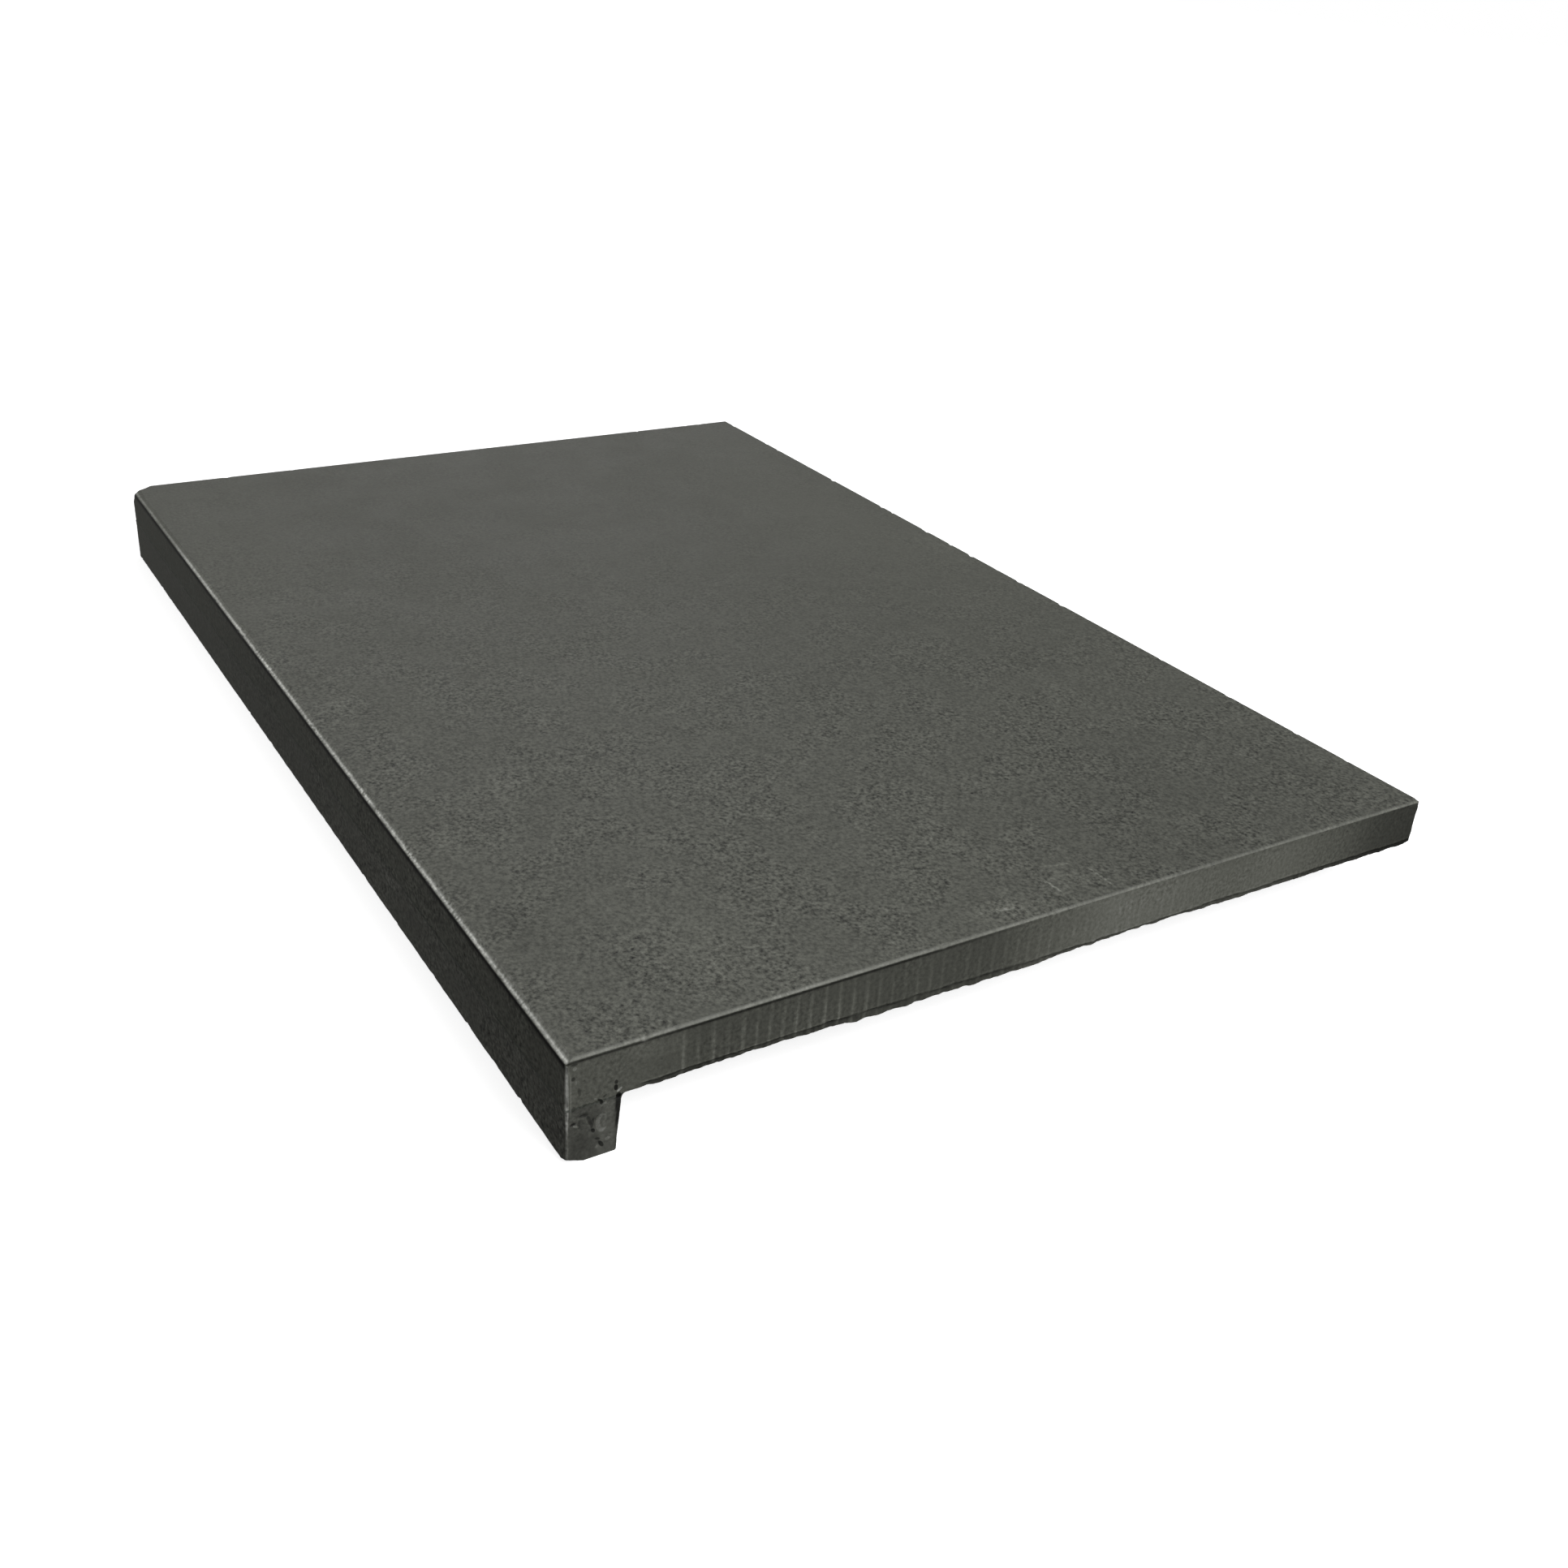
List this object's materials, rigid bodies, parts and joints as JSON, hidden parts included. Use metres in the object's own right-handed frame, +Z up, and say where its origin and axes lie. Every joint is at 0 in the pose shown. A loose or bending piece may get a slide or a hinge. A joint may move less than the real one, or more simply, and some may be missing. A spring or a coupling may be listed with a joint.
{
  "type": "drop-face coping tile",
  "caption": "Flat rectangular stone coping tile with a narrow stone strip resin-bonded under its front edge, giving a deep drop face and an L-shaped end.",
  "frame": {"origin": "middle of the tile's bounding box, level with the foot of the drop strip", "axes": "+X along the finished front edge, +Y from the drop face to the back edge, +Z up out of the walking face"},
  "size_m": [0.6, 0.4, 0.043],
  "materials": {
    "slab_basalt": "matte",
    "strip_basalt": "matte",
    "stone_resin": "satin"
  },
  "bodies": {
    "root": {"top_slab": "slab_basalt", "drop_strip": "strip_basalt", "epoxy_bond": "stone_resin"}
  },
  "joints": []
}
